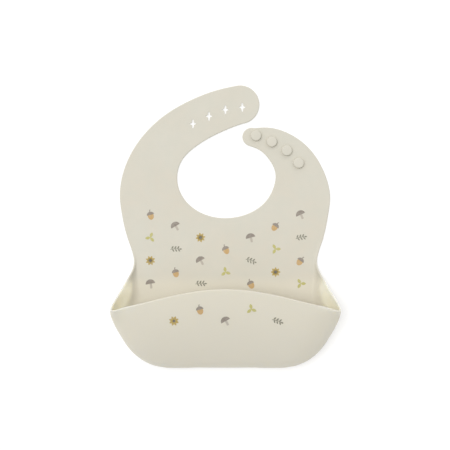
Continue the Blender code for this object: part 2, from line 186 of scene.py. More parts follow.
def smooth_curve(points):
    """Natural cubic spline through the points, as a function of the point's number."""
    knots = np.array(points, dtype=float)
    spans = np.linalg.norm(np.diff(knots, axis=0), axis=1)
    count = len(knots)
    matrix = np.eye(count)
    bend = np.zeros_like(knots)
    for i in range(1, count - 1):
        matrix[i, i - 1] = spans[i - 1]
        matrix[i, i] = 2 * (spans[i - 1] + spans[i])
        matrix[i, i + 1] = spans[i]
        rise_after = (knots[i + 1] - knots[i]) / spans[i]
        rise_before = (knots[i] - knots[i - 1]) / spans[i - 1]
        bend[i] = 6 * (rise_after - rise_before)
    bend = np.linalg.solve(matrix, bend)

    def position(number):
        i = min(max(int(number), 0), count - 2)
        right = number - i
        left = 1 - right
        straight = left * knots[i] + right * knots[i + 1]
        curved = (left**3 - left) * bend[i] + (right**3 - right) * bend[i + 1]
        return straight + curved * spans[i] ** 2 / 6

    return position


def unit(vector):
    return vector / np.linalg.norm(vector)


def edges_round(corners):
    return zip(corners, corners[1:] + corners[:1])


def turn(vector, angle):
    x, y = vector
    return np.array((x * cos(angle) - y * sin(angle), x * sin(angle) + y * cos(angle)))


def lengths_along(points):
    steps = np.linalg.norm(np.diff(points, axis=0), axis=1)
    return np.concatenate(([0.0], np.cumsum(steps)))


def points_at(points, along, wanted):
    """Points at the wanted distances along a polyline."""
    return np.stack([np.interp(wanted, along, column) for column in points.T], axis=1)


def even_steps(start, end, spacing):
    count = max(round(abs(end - start) / spacing), 1)
    return np.linspace(start, end, count + 1)


def flex_frame(flex_line):
    """Neck end, outer end, and unit direction across the line, towards the strap's tip."""
    neck = np.array(flex_line[0])
    outer = np.array(flex_line[1])
    along = (outer - neck) / np.linalg.norm(outer - neck)
    across = np.array((along[1], -along[0]))
    if flex_line in BUTTONED_FLEX_LINES:
        across = -across
    return neck, outer, across


def tip_ends(centre, radius, heading):
    """Where a rounded tip's arc meets the strap's edges: the left and the right of its heading."""
    leftward = turn((cos(heading), sin(heading)), pi / 2)
    return np.array(centre) + leftward * radius, np.array(centre) - leftward * radius


# Outline of the flat sheet, from the right run-out round the straps and the neck to the left one

SLOTTED_TIP_OUTER, SLOTTED_TIP_NECK = tip_ends(
    SLOTTED_TIP_CENTRE, SLOTTED_TIP_RADIUS, SLOTTED_TIP_HEADING
)
BUTTONED_TIP_NECK, BUTTONED_TIP_OUTER = tip_ends(
    BUTTONED_TIP_CENTRE, BUTTONED_TIP_RADIUS, BUTTONED_TIP_HEADING
)
OUTER_LEFT = [*OUTER_LEFT_POINTS, *[line[1] for line in SLOTTED_FLEX_LINES], SLOTTED_TIP_OUTER]
OUTER_RIGHT = [*OUTER_RIGHT_POINTS, *[line[1] for line in BUTTONED_FLEX_LINES], BUTTONED_TIP_OUTER]
NECK = [
    BUTTONED_TIP_NECK,
    *[line[0] for line in reversed(BUTTONED_FLEX_LINES)],
    *NECK_RIGHT_POINTS,
    NECK_BOTTOM_POINT,
    *reversed(NECK_LEFT_POINTS),
    *[line[0] for line in SLOTTED_FLEX_LINES],
    SLOTTED_TIP_NECK,
]


def traced(points, start=0):
    """Dense points along the smooth curve through these, from a numbered one."""
    curve = smooth_curve(points)
    return [curve(number) for number in np.linspace(start, len(points) - 1, DENSE)]


def half_turn(centre, start):
    """Dense points counter-clockwise round half a circle, its ends left out."""
    first = np.array(start) - centre
    return [centre + turn(first, angle) for angle in np.linspace(0, pi, DENSE)[1:-1]]


def sheet_edge():
    """Middle of the sheet's rounded edge, outside the pocket, counter-clockwise."""
    edge = np.array(
        [
            *traced(OUTER_RIGHT, RUN_OUT_NUMBER),
            *half_turn(np.array(BUTTONED_TIP_CENTRE), BUTTONED_TIP_OUTER),
            *traced(NECK),
            *half_turn(np.array(SLOTTED_TIP_CENTRE), SLOTTED_TIP_NECK),
            *reversed(traced(OUTER_LEFT, RUN_OUT_NUMBER)),
        ]
    )
    kept = np.concatenate(([True], np.linalg.norm(np.diff(edge, axis=0), axis=1) > SAME_PLACE))
    edge = edge[kept]
    ahead = np.gradient(edge, axis=0)
    ahead /= np.linalg.norm(ahead, axis=1)[:, None]
    inward = np.stack((-ahead[:, 1], ahead[:, 0]), axis=1)
    return edge + inward * EDGE_RADIUS


# Pocket's wall

def mirrored(section):
    (foot_x, foot_y), (edge_x, edge_y, edge_z), handles = section
    return ((-foot_x, foot_y), (-edge_x, edge_y, edge_z), handles)


HALF_SECTIONS = (*POCKET_SECTIONS, *RUN_OUT_SECTIONS)
ALL_SECTIONS = [*reversed(HALF_SECTIONS), *[mirrored(section) for section in HALF_SECTIONS[1:]]]
SECTION_CURVE = smooth_curve([[*foot, *edge, *handles] for foot, edge, handles in ALL_SECTIONS])
MIDDLE_SECTION = len(HALF_SECTIONS) - 1
LAST_SECTION = len(ALL_SECTIONS) - 1


def wall_section(number):
    """Evenly spaced points from the panel to the free edge, inside its rounded rim."""
    values = SECTION_CURVE(number)
    foot = values[:2]
    ahead = SECTION_CURVE(min(number + TINY_STEP, LAST_SECTION))[:2]
    behind = SECTION_CURVE(max(number - TINY_STEP, 0))[:2]
    along = (ahead - behind) / np.linalg.norm(ahead - behind)
    outward = np.array((along[1], -along[0]))
    edge = values[2:5]
    panel_handle, edge_handle_out, edge_handle_up = values[5:8]
    reach = edge[:2] - foot
    out_end = reach @ outward
    drift_end = reach @ along
    corners = np.array(
        (
            (0, 0, EDGE_RADIUS),
            (panel_handle, 0, EDGE_RADIUS),
            (out_end + edge_handle_out, drift_end * SIDE_DRIFT, edge[2] + edge_handle_up),
            (out_end, drift_end, edge[2]),
        )
    )
    v = np.linspace(0, 1, DENSE)
    weights = np.stack(((1 - v) ** 3, 3 * v * (1 - v) ** 2, 3 * v**2 * (1 - v), v**3), axis=1)
    out, drift, up = (weights @ corners).T
    flat = foot + np.outer(out, outward) + np.outer(drift, along)
    points = np.column_stack((flat, up))
    distance = lengths_along(points)
    wanted = np.linspace(0, distance[-1] - EDGE_RADIUS, WALL_STEPS + 1)
    return points_at(points, distance, wanted)


def number_at_height(y, low, high):
    """Section whose foot is at this y, by halving; the feet fall from low to high or rise."""
    falling = SECTION_CURVE(low)[1] > SECTION_CURVE(high)[1]
    for _ in range(HALVINGS):
        middle = (low + high) / 2
        if (SECTION_CURVE(middle)[1] > y) == falling:
            low = middle
        else:
            high = middle
    return middle


def even_numbers(start, end):
    """Section numbers from start to end, evenly spaced along the wall."""
    numbers = np.linspace(start, end, DENSE)
    values = np.array([SECTION_CURVE(number)[:5] for number in numbers])
    along = (lengths_along(values[:, :2]) + lengths_along(values[:, 2:5])) / 2
    return np.interp(even_steps(0, along[-1], SECTION_SPACING), along, numbers)


def wall_grid(waist_cut):
    """Sections of the wall as an array, and the two rows where the sheet is cut below the waist."""
    left_cut = number_at_height(waist_cut, 0, MIDDLE_SECTION)
    right_cut = number_at_height(waist_cut, MIDDLE_SECTION, LAST_SECTION)
    left = even_numbers(0, left_cut)
    middle = even_numbers(left_cut, right_cut)
    right = even_numbers(right_cut, LAST_SECTION)
    numbers = [*left, *middle[1:], *right[1:]]
    rows = np.array([wall_section(number) for number in numbers])
    return rows, len(left) - 1, len(left) + len(middle) - 2


# Flat sheet

def cut_lines():
    """Cut before each flex line's bending zone: (strap, number, neck end, outer end, across)."""
    cuts = []
    for strap, lines in STRAPS:
        for number, line in enumerate(lines):
            neck, outer, across = flex_frame(line)
            back = across * -(STRAP_ZONES[strap][number] + ZONE_MARGIN)
            cuts.append((strap, number, neck + back, outer + back, across))
    return cuts


def crossings(edge, start, end):
    """Distances along the edge polyline where it crosses a cut's line, nearest on either side."""
    along = lengths_along(edge)
    middle = (start + end) / 2
    direction = unit(end - start)
    side = (edge - middle) @ turn(direction, pi / 2)
    place = (edge - middle) @ direction
    nearest = {}
    for i in np.flatnonzero(side[:-1] * side[1:] < 0):
        share = side[i] / (side[i] - side[i + 1])
        reach = place[i] > 0
        if reach not in nearest or abs(place[i]) < nearest[reach][0]:
            nearest[reach] = (abs(place[i]), along[i] + share * (along[i + 1] - along[i]))
    return [nearest[reach][1] for reach in (False, True)]


def star(centre):
    """Four-pointed slot where its fillets end, counter-clockwise, its points along X and Y."""
    angles = np.arange(SLOT_STEPS) * 2 * pi / SLOT_STEPS
    tip = np.hypot(SLOT_HALF_WIDTH * np.cos(angles), SLOT_HALF_HEIGHT * np.sin(angles))
    pointed = np.abs(np.cos(2 * angles)) ** SLOT_POINT_POWER
    radius = SLOT_WAIST + (tip - SLOT_WAIST) * pointed + SLOT_FILLET
    x = centre[0] + radius * np.cos(angles)
    y = centre[1] + radius * np.sin(angles)
    return np.stack((x, y), axis=1)


def inside(points, polygon):
    """Which points are inside a closed polygon."""
    x, y = points[:, 0], points[:, 1]
    result = np.zeros(len(points), bool)
    following = np.roll(polygon, -1, axis=0)
    for (ax, ay), (bx, by) in zip(polygon, following):
        if ay == by:
            continue
        spans = (ay > y) != (by > y)
        result ^= spans & (x < ax + (y - ay) * (bx - ax) / (by - ay))
    return result


def hex_points(low, high, spacing):
    """Triangular grid over a rectangle."""
    rows = np.arange(low[1], high[1], spacing * sin(pi / 3))
    points = []
    for number, y in enumerate(rows):
        shift = spacing / 2 * (number % 2)
        points.extend((x, y) for x in np.arange(low[0] + shift, high[0], spacing))
    return np.array(points)


def far_from(points, others, distance):
    """The points that are at least this far from all the others."""
    nearest = np.full(len(points), np.inf)
    for start in range(0, len(others), DENSE):
        some = others[start:start + DENSE]
        gaps = np.linalg.norm(points[:, None] - some[None], axis=2)
        nearest = np.minimum(nearest, gaps.min(axis=1))
    return points[nearest >= distance]


def flat_input(rows, left_cut, right_cut):
    """Outline, slots and cuts of the flat sheet, as numbered points and the edges between them."""
    foot = rows[:, 0, :2]
    edge = sheet_edge()
    along = lengths_along(edge)
    cuts = [crossings(edge, neck, outer) for _, _, neck, outer, _ in cut_lines()]
    ordered = sorted({0.0, along[-1]}.union(*cuts))
    stops = [np.array([0.0])]
    for start, end in zip(ordered, ordered[1:]):
        stops.append(even_steps(start, end, RIM_SPACING)[1:])
    stops = np.concatenate(stops)
    rim = points_at(edge, along, stops)[1:-1]

    last_row = rows[-1, 1:, :2]
    first_row = rows[0, 1:, :2][::-1]
    outline = np.concatenate((foot, last_row, rim, first_row))
    rim_start = len(foot) + len(last_row)
    points = [*outline]
    edges = [(i, (i + 1) % len(outline)) for i in range(len(outline))]

    cut_edges = []

    def add_cut(start, end):
        """Row of new points between two numbered ones, as cut edges."""
        steps = even_steps(0, np.linalg.norm(points[end] - points[start]), GRID_SPACING)
        inner = points_between(points[start], points[end], len(steps) - 1)
        numbers = [start, *range(len(points), len(points) + len(inner)), end]
        points.extend(inner)
        cut_edges.extend(zip(numbers, numbers[1:]))

    for found in cuts:
        ends = [rim_start + int(np.argmin(np.abs(stops - place))) - 1 for place in found]
        add_cut(*ends)
    add_cut(left_cut, right_cut)

    slots = []
    for centre in SLOT_CENTRES:
        ring = star(centre)
        start = len(points)
        points.extend(ring)
        numbers = list(range(start, len(points)))
        slots.append(numbers)
        edges.extend(edges_round(numbers))
    return np.array(points), len(outline), edges, cut_edges, slots


def points_between(start, end, steps):
    return [start + (end - start) * i / steps for i in range(1, steps)]


def triangles_of(points, edges, outline_count, spacing, holes):
    """Triangulates inside the outline, the first points, with a grid of added points."""
    outline = points[:outline_count]
    grid = hex_points(outline.min(axis=0), outline.max(axis=0), spacing)
    grid = grid[inside(grid, outline)]
    for hole in holes:
        grid = grid[~inside(grid, hole)]
    grid = far_from(grid, points, spacing * GRID_CLEARANCE)
    everything = np.concatenate((points, grid))
    places = [Vector(point) for point in everything]
    whole = [list(range(outline_count))]
    found = delaunay_2d_cdt(places, edges, whole, 1, TRIANGULATION_LIMIT)
    placed = np.array([(point.x, point.y) for point in found[0]])
    triangles = np.array([face for face in found[2]])
    went = np.full(len(everything), -1)
    for number, sources in enumerate(found[3]):
        for source in sources:
            went[source] = number
    centres = placed[triangles].mean(axis=1)
    for hole in holes:
        keep = ~inside(centres, hole)
        triangles, centres = triangles[keep], centres[keep]
    used = np.unique(triangles)
    renumbered = np.full(len(placed), -1)
    renumbered[used] = np.arange(len(used))
    return placed[used], renumbered[triangles], renumbered[went]


def middle_surface():
    """Points and faces of the whole sheet's middle, its slot points, and its cut edges."""
    waist_cut = WAIST_Y - WAIST_ZONE - ZONE_MARGIN
    rows, left_cut, right_cut = wall_grid(waist_cut)
    points, outline_count, edges, cut_edges, slots = flat_input(rows, left_cut, right_cut)
    holes = [points[slot] for slot in slots]
    placed, triangles, went = triangles_of(
        points, [*edges, *cut_edges], outline_count, GRID_SPACING, holes
    )
    flat = np.column_stack((placed, np.full(len(placed), EDGE_RADIUS)))
    slot_points = {int(went[number]) for slot in slots for number in slot}
    cuts = {frozenset((int(went[a]), int(went[b]))) for a, b in cut_edges}

    count = len(rows)
    grid = np.full((count, WALL_STEPS + 1), -1)
    grid[:, 0] = went[:count]
    grid[-1, 1:] = went[count:count + WALL_STEPS]
    grid[0, 1:] = went[outline_count - WALL_STEPS:outline_count][::-1]
    wall_points = []
    for i in range(1, count - 1):
        for j in range(1, WALL_STEPS + 1):
            grid[i, j] = len(flat) + len(wall_points)
            wall_points.append(rows[i, j])
    faces = [tuple(int(number) for number in triangle) for triangle in triangles]
    for i in range(count - 1):
        for j in range(WALL_STEPS):
            corners = (grid[i, j], grid[i, j + 1], grid[i + 1, j + 1], grid[i + 1, j])
            faces.append(tuple(int(number) for number in corners))
    for row in (left_cut, right_cut):
        cuts.update(frozenset((int(a), int(b))) for a, b in zip(grid[row], grid[row][1:]))
    return np.concatenate((flat, wall_points)), faces, slot_points, cuts


def surface_normals(points, faces):
    """Unit normals at the points, each face counted by its area."""
    normals = np.zeros_like(points)
    for size in (3, 4):
        some = np.array([face for face in faces if len(face) == size])
        corners = points[some]
        across = (corners[:, 1] - corners[:, 0], corners[:, 2] - corners[:, 0])
        if size == 4:
            across = (corners[:, 2] - corners[:, 0], corners[:, 3] - corners[:, 1])
        area = np.cross(*across)
        for column in some.T:
            np.add.at(normals, column, area)
    return normals / np.linalg.norm(normals, axis=1)[:, None]


# Thickness and rims

def rim_profile():
    """Half round of the sheet's edge: (outwards, up, normal out, normal up)."""
    angles = [pi * step / RIM_STEPS for step in range(1, RIM_STEPS)]
    return [(EDGE_RADIUS * sin(a), EDGE_RADIUS * cos(a), sin(a), cos(a)) for a in angles]


def slot_profile():
    """Wall of a slot between its two faces, with a small fillet at each."""
    level = EDGE_RADIUS - SLOT_FILLET
    steps = range(1, SLOT_FILLET_STEPS + 1)
    angles = [pi / 2 * step / SLOT_FILLET_STEPS for step in steps]
    radius = SLOT_FILLET
    upper = [(radius * sin(a), level + radius * cos(a), sin(a), cos(a)) for a in angles]
    lower = [(out, -up, normal_out, -normal_up) for out, up, normal_out, normal_up in upper]
    return [*upper, *reversed(lower)]


class Shell:
    """The whole sheet with its thickness: corner places, corner normals, and faces by piece."""

    def __init__(self, points, faces, slot_points, cuts):
        self.middle_points = points
        self.middle_faces = faces
        self.cuts = cuts
        normals = surface_normals(points, faces)
        self.count = len(points)
        self.places = [*(points + normals * EDGE_RADIUS), *(points - normals * EDGE_RADIUS)]
        self.normals = [*normals, *-normals]
        self.directed = {}
        for number, face in enumerate(faces):
            for a, b in edges_round(face):
                self.directed[a, b] = number
        following = {a: b for a, b in self.directed if (b, a) not in self.directed}
        leading = {b: a for a, b in following.items()}
        self.rings = {}
        for here, ahead in following.items():
            along = unit(points[ahead] - points[here]) + unit(points[here] - points[leading[here]])
            outward = unit(np.cross(along, normals[here]))
            profile = slot_profile() if here in slot_points else rim_profile()
            start = len(self.places)
            for out, up, normal_out, normal_up in profile:
                self.places.append(points[here] + outward * out + normals[here] * up)
                self.normals.append(outward * normal_out + normals[here] * normal_up)
            between = range(start, start + len(profile))
            self.rings[here] = [here, *between, here + self.count]
        self.places = np.array(self.places)
        self.normals = np.array(self.normals)

    def label(self, seeds):
        """Gives each middle face the name of the seed that it can be reached from without a cut."""
        corners = [self.middle_points[list(face)] for face in self.middle_faces]
        centres = np.array([places.mean(axis=0) for places in corners])
        labels = {}
        for name, place in seeds.items():
            start = int(np.argmin(np.linalg.norm(centres - np.array(place), axis=1)))
            labels[start] = name
            waiting = [start]
            while waiting:
                number = waiting.pop()
                face = self.middle_faces[number]
                for a, b in edges_round(face):
                    neighbour = self.directed.get((b, a))
                    if neighbour is None or neighbour in labels:
                        continue
                    if frozenset((a, b)) in self.cuts:
                        continue
                    labels[neighbour] = name
                    waiting.append(neighbour)
        return labels

    def skin_faces(self, numbers):
        """Front, back and rim faces over these middle faces."""
        skin = []
        for number in numbers:
            face = self.middle_faces[number]
            skin.append(face)
            skin.append(tuple(corner + self.count for corner in reversed(face)))
            for a, b in edges_round(face):
                if (b, a) in self.directed:
                    continue
                near, far = self.rings[a], self.rings[b]
                for k in range(len(near) - 1):
                    skin.append((near[k], near[k + 1], far[k + 1], far[k]))
        return skin

    def cap_faces(self, numbers):
        """Faces that close a piece where it was cut from its neighbour."""
        caps = []
        for number in numbers:
            face = self.middle_faces[number]
            for a, b in edges_round(face):
                if frozenset((a, b)) not in self.cuts:
                    continue
                caps.append((a, a + self.count, b + self.count, b))
                if b in self.rings:
                    caps.append((b, *reversed(self.rings[b][1:])))
                if a in self.rings:
                    caps.append((a + self.count, *self.rings[a][:-1]))
        return caps

    def piece(self, name, numbers, material):
        skin = self.skin_faces(numbers)
        caps = self.cap_faces(numbers)
        used = sorted({corner for face in (*skin, *caps) for corner in face})
        new_number = {old: new for new, old in enumerate(used)}
        faces = [tuple(new_number[corner] for corner in face) for face in (*skin, *caps)]
        normals = [self.normals[corner] for face in skin for corner in face]
        for face in caps:
            corners = self.places[list(face[:3])]
            flat = unit(np.cross(corners[1] - corners[0], corners[2] - corners[0]))
            normals.extend([flat] * len(face))
        return add_piece(name, self.places[used], faces, material, normals)


def add_object(name, data):
    thing = bpy.data.objects.new(name, data)
    bpy.context.collection.objects.link(thing)
    return thing


def add_piece(name, places, faces, material, normals=None):
    """New object from places in millimetres, with each face's corner normals if they are given."""
    mesh = bpy.data.meshes.new(name)
    places = np.asarray(places) * MM
    mesh.from_pydata(places.tolist(), [], faces)
    mesh.shade_smooth()
    if normals is not None:
        mesh.normals_split_custom_set([tuple(normal) for normal in normals])
    rest = mesh.attributes.new(REST_PLACE, "FLOAT_VECTOR", "POINT")
    rest.data.foreach_set("vector", places.astype(np.float32).ravel())
    mesh.materials.append(material)
    return add_object(name, mesh)


# Materials: sizes and heights are in millimetres

NOISE_RANGE = (0.3, 0.7)
CLOUD_SIZE = 55
CLOUD_DETAIL = 1.5
CLOUD_SHARE = 0.75
MOTTLE_SIZE = 9
MOTTLE_SHARE = 0.5
FINE_DETAIL = 3.0
DRIFT_SIZE = 16
GRAIN_SIZE = 0.55
GRAIN_HEIGHT = 0.012
GRAIN_ROUGHNESS = 0.6
WAVE_SIZE = 14
WAVE_HEIGHT = 0.10
BUMP_STRENGTH = 0.5
SILICONE_ROUGHNESS = 0.52
SILICONE_DRIFT = (0.46, 0.60)
SILICONE_IOR = 1.41
SHEEN = 0.08
SHEEN_ROUGHNESS = 0.5
INK_ROUGHNESS = 0.6
INK_DRIFT = (0.52, 0.66)
INK_IOR = 1.45
INK_WASH_SIZE = 2.2
INK_WASH = 0.22


def principled(name, roughness):
    material = bpy.data.materials.new(name)
    material.use_nodes = True
    shader = material.node_tree.nodes["Principled BSDF"]
    shader.inputs["Roughness"].default_value = roughness
    return material, material.node_tree.nodes, material.node_tree.links, shader


def noise(nodes, links, place, size_mm, detail=2.0, roughness=0.5):
    """Noise over the sheet as it was moulded, with features of about this size."""
    texture = nodes.new("ShaderNodeTexNoise")
    texture.inputs["Scale"].default_value = 1 / (size_mm * MM)
    texture.inputs["Detail"].default_value = detail
    texture.inputs["Roughness"].default_value = roughness
    links.new(place, texture.inputs["Vector"])
    return texture.outputs["Fac"]


def rest_place(nodes):
    attribute = nodes.new("ShaderNodeAttribute")
    attribute.attribute_name = REST_PLACE
    return attribute.outputs["Vector"]


def spread_between(nodes, links, value, low, high):
    """Maps noise, over the values where it mostly stays, to a range."""
    ramp = nodes.new("ShaderNodeMapRange")
    ramp.inputs["From Min"].default_value = NOISE_RANGE[0]
    ramp.inputs["From Max"].default_value = NOISE_RANGE[1]
    ramp.inputs["To Min"].default_value = low
    ramp.inputs["To Max"].default_value = high
    links.new(value, ramp.inputs["Value"])
    return ramp.outputs["Result"]


def mixed(nodes, links, share, first, second):
    """Colour between two, by a share; each is a colour or another node's output."""
    mix = nodes.new("ShaderNodeMix")
    mix.data_type = "RGBA"
    links.new(share, mix.inputs["Factor"])
    for name, colour in (("A", first), ("B", second)):
        socket = [s for s in mix.inputs if s.name == name and s.type == "RGBA"][0]
        if isinstance(colour, tuple):
            socket.default_value = (*colour, 1.0)
        else:
            links.new(colour, socket)
    return [s for s in mix.outputs if s.type == "RGBA"][0]


SILICONE_LIGHT = (0.668, 0.640, 0.550)
SILICONE_WARM = (0.668, 0.616, 0.512)
SILICONE_COOL = (0.634, 0.622, 0.535)
# Painted glow: a paler, warmer colour laid over the pocket in place of light let through and
# bounced between its walls
SILICONE_PAINTED_GLOW = (0.718, 0.675, 0.562)

# Where the pocket's walls rise, where they begin below the waist (also where the pocket's painted
# glow begins), and where its gussets are
WALL_UP = (2.0, 12.0)
POCKET_FROM_WAIST = (-47.0, -60.0)
GUSSET_OUT = (80.0, 96.0)
GUSSET_BEHIND_FRONT = (-92.0, -76.0)
THIN_WALL_DEPTH = (1.0, 0.9, 0.65)
THIN_WALL_SCALE = 13.0
WALL_GLOW = 0.3
GUSSET_GLOW = 1.0


def silicone_colour(nodes, links, place):
    """Ivory with faint warm and cool clouds, and finer mottling from the pigment."""
    broad = noise(nodes, links, place, CLOUD_SIZE, CLOUD_DETAIL)
    clouds = spread_between(nodes, links, broad, 0.0, CLOUD_SHARE)
    warmed = mixed(nodes, links, clouds, SILICONE_LIGHT, SILICONE_WARM)
    fine = noise(nodes, links, place, MOTTLE_SIZE, FINE_DETAIL)
    mottle = spread_between(nodes, links, fine, 0.0, MOTTLE_SHARE)
    return mixed(nodes, links, mottle, warmed, SILICONE_COOL)


def ranged(nodes, links, value, start, end):
    """0 before start, 1 after end, and smooth between them."""
    ramp = nodes.new("ShaderNodeMapRange")
    ramp.interpolation_type = "SMOOTHSTEP"
    ramp.inputs["From Min"].default_value = start * MM
    ramp.inputs["From Max"].default_value = end * MM
    links.new(value, ramp.inputs["Value"])
    return ramp.outputs["Result"]


def calculated(nodes, links, operation, *values):
    """The result of one arithmetic operation on values from other nodes."""
    result = nodes.new("ShaderNodeMath")
    result.operation = operation
    for value, socket in zip(values, result.inputs):
        links.new(value, socket)
    return result.outputs["Value"]


def pocket_shares(nodes, links, place):
    """Where the pocket (the mask for its painted glow), its standing walls and its gussets are,
    each as a share from 0 to 1.
    """
    split = nodes.new("ShaderNodeSeparateXYZ")
    links.new(place, split.inputs["Vector"])
    wall = ranged(nodes, links, split.outputs["Z"], *WALL_UP)
    pocket = ranged(nodes, links, split.outputs["Y"], *POCKET_FROM_WAIST)
    wall = calculated(nodes, links, "MULTIPLY", wall, pocket)
    sideways = calculated(nodes, links, "ABSOLUTE", split.outputs["X"])
    gusset = calculated(nodes, links, "MULTIPLY", wall, ranged(nodes, links, sideways, *GUSSET_OUT))
    behind_front = ranged(nodes, links, split.outputs["Y"], *GUSSET_BEHIND_FRONT)
    return pocket, wall, calculated(nodes, links, "MULTIPLY", gusset, behind_front)


def glow_share(nodes, links, wall, gusset):
    """How much light passes through: some in every thin wall, and more in the gussets."""
    share = nodes.new("ShaderNodeMapRange")
    share.inputs["To Min"].default_value = WALL_GLOW
    share.inputs["To Max"].default_value = GUSSET_GLOW
    links.new(gusset, share.inputs["Value"])
    return calculated(nodes, links, "MULTIPLY", wall, share.outputs["Result"])


def satin_surface(nodes, links, shader, place, low, high):
    """Roughness that drifts, over a fine moulded texture."""
    drift = noise(nodes, links, place, DRIFT_SIZE, FINE_DETAIL)
    links.new(spread_between(nodes, links, drift, low, high), shader.inputs["Roughness"])
    grain = noise(nodes, links, place, GRAIN_SIZE, FINE_DETAIL, GRAIN_ROUGHNESS)
    waviness = noise(nodes, links, place, WAVE_SIZE, 1.0)
    fine = nodes.new("ShaderNodeBump")
    fine.inputs["Strength"].default_value = BUMP_STRENGTH
    fine.inputs["Distance"].default_value = GRAIN_HEIGHT * MM
    links.new(grain, fine.inputs["Height"])
    wide = nodes.new("ShaderNodeBump")
    wide.inputs["Strength"].default_value = BUMP_STRENGTH
    wide.inputs["Distance"].default_value = WAVE_HEIGHT * MM
    links.new(waviness, wide.inputs["Height"])
    links.new(wide.outputs["Normal"], fine.inputs["Normal"])
    links.new(fine.outputs["Normal"], shader.inputs["Normal"])


def silicone(name, thin_walls_and_painted_glow=False):
    """Matte silicone; over the pocket its colour is painted paler and warmer, a painted glow for
    light let through and bounced inside it, and its thin walls let light through.
    """
    material, nodes, links, shader = principled(name, SILICONE_ROUGHNESS)
    place = rest_place(nodes)
    colour = silicone_colour(nodes, links, place)
    if thin_walls_and_painted_glow:
        pocket, wall, gusset = pocket_shares(nodes, links, place)
        # Painted light: the pocket's colour is painted paler and warmer as a painted glow
        colour = mixed(nodes, links, pocket, colour, SILICONE_PAINTED_GLOW)
        links.new(glow_share(nodes, links, wall, gusset), shader.inputs["Subsurface Weight"])
        shader.inputs["Subsurface Radius"].default_value = THIN_WALL_DEPTH
        shader.inputs["Subsurface Scale"].default_value = THIN_WALL_SCALE * MM
    links.new(colour, shader.inputs["Base Color"])
    satin_surface(nodes, links, shader, place, *SILICONE_DRIFT)
    shader.inputs["IOR"].default_value = SILICONE_IOR
    shader.inputs["Sheen Weight"].default_value = SHEEN
    shader.inputs["Sheen Roughness"].default_value = SHEEN_ROUGHNESS
    return material


def ink(name, colour, cover):
    """Thin printed ink: its colour, washed out in places where the silicone shows through."""
    material, nodes, links, shader = principled(name, INK_ROUGHNESS)
    place = rest_place(nodes)
    base = silicone_colour(nodes, links, place)
    patches = noise(nodes, links, place, INK_WASH_SIZE, FINE_DETAIL)
    wash = spread_between(nodes, links, patches, cover - INK_WASH, cover)
    links.new(mixed(nodes, links, wash, base, colour), shader.inputs["Base Color"])
    satin_surface(nodes, links, shader, place, *INK_DRIFT)
    shader.inputs["IOR"].default_value = INK_IOR
    return material


# Printed motifs: each is a list of (ink, layer, outline), drawn upright about its own centre

INKS = {
    "taupe": ((0.265, 0.225, 0.190), 1.0),
    "olive": ((0.205, 0.200, 0.150), 1.0),
    "bark": ((0.120, 0.108, 0.085), 1.0),
    "orange": ((0.560, 0.350, 0.130), 1.0),
    "mustard": ((0.480, 0.340, 0.080), 1.0),
    "moss": ((0.500, 0.465, 0.130), 0.95),
    "sand": ((0.455, 0.400, 0.335), 0.85),
}
LAYER_HEIGHT = 0.03
FIRST_LAYER = 0.05
PRINT_DEPTH = 0.15
PRINT_SPACING = 0.75
PRINT_EDGE_SPACING = 0.5
FEWEST_EDGE_POINTS = 8
OVAL_STEPS = 22
DOME_STEPS = 14
LEAF_STEPS = 8
LEAF_FULLNESS = 0.8
STROKE_STEPS = 6
STROKE_END = 5


def oval(x, y, half_width, half_height):
    angles = np.arange(OVAL_STEPS) * 2 * pi / OVAL_STEPS
    return [(half_width * cos(a) + x, half_height * sin(a) + y) for a in angles]


def leaf(x, y, length, width, heading):
    """Pointed oval that grows from a point in a direction."""
    shares = np.linspace(0, 1, LEAF_STEPS + 1)
    bulge = width / 2 * np.sin(pi * shares) ** LEAF_FULLNESS
    lower = np.stack((length * shares, -bulge), axis=1)
    upper = np.stack((length * shares, bulge), axis=1)[::-1]
    return [turn(point, heading) + (x, y) for point in (*lower, *upper[1:-1])]


def stroke(points, width):
    """Line of this width through a few points, with rounded ends."""
    curve = smooth_curve(points)
    numbers = np.linspace(0, len(points) - 1, STROKE_STEPS * len(points))
    line = np.array([curve(number) for number in numbers])
    ahead = np.gradient(line, axis=0)
    ahead /= np.linalg.norm(ahead, axis=1)[:, None]
    side = np.stack((-ahead[:, 1], ahead[:, 0]), axis=1)
    half = np.full(len(line), width / 2)
    half[[0, -1]] = width / STROKE_END
    return [*(line - side * half[:, None]), *(line + side * half[:, None])[::-1]]


def sprig():
    """Stem with leaves in pairs and one at its end."""
    shapes = [("olive", 0, stroke(((-5.2, -0.5), (0.0, 0.3), (4.4, 0.0)), 0.55))]
    for x in (-3.8, -0.9, 2.0):
        shapes.append(("olive", 1, leaf(x, 0.2, 3.4, 1.5, radians(58))))
        shapes.append(("olive", 1, leaf(x + 0.7, -0.1, 3.2, 1.4, radians(-54))))
    return [*shapes, ("olive", 1, leaf(3.8, 0, 2.8, 1.5, 0.0))]


def dome(x, y, half_width, height):
    """Upper half of an oval, standing on its flat side."""
    angles = np.linspace(0, pi, DOME_STEPS + 1)
    return [(x + half_width * cos(a), y + height * sin(a)) for a in angles]


def mushroom():
    return [
        ("sand", 0, stroke(((0.0, 1.0), (0.3, -2.0), (0.0, -5.0)), 2.2)),
        ("taupe", 1, dome(0.0, -0.2, 4.8, 4.4)),
    ]


def daisy():
    """Eight petals round a dark centre."""
    headings = np.arange(8) * pi / 4
    petals = [("mustard", 0, leaf(0.0, 0.0, 5.0, 2.3, heading)) for heading in headings]
    return [*petals, ("bark", 1, oval(0.0, 0.0, 1.4, 1.4))]


def leaf_trio():
    headings = (90, 210, 330)
    return [("moss", 0, leaf(0.0, 0.0, 5.4, 3.0, radians(heading))) for heading in headings]


def acorn():
    """Nut in its cup, with a short stalk."""
    return [
        ("orange", 0, oval(0.0, -1.4, 3.0, 4.0)),
        ("taupe", 0, stroke(((0.0, 2.0), (0.2, 3.6), (0.9, 4.8)), 0.9)),
        ("taupe", 1, dome(0.0, -0.4, 3.7, 3.2)),
    ]


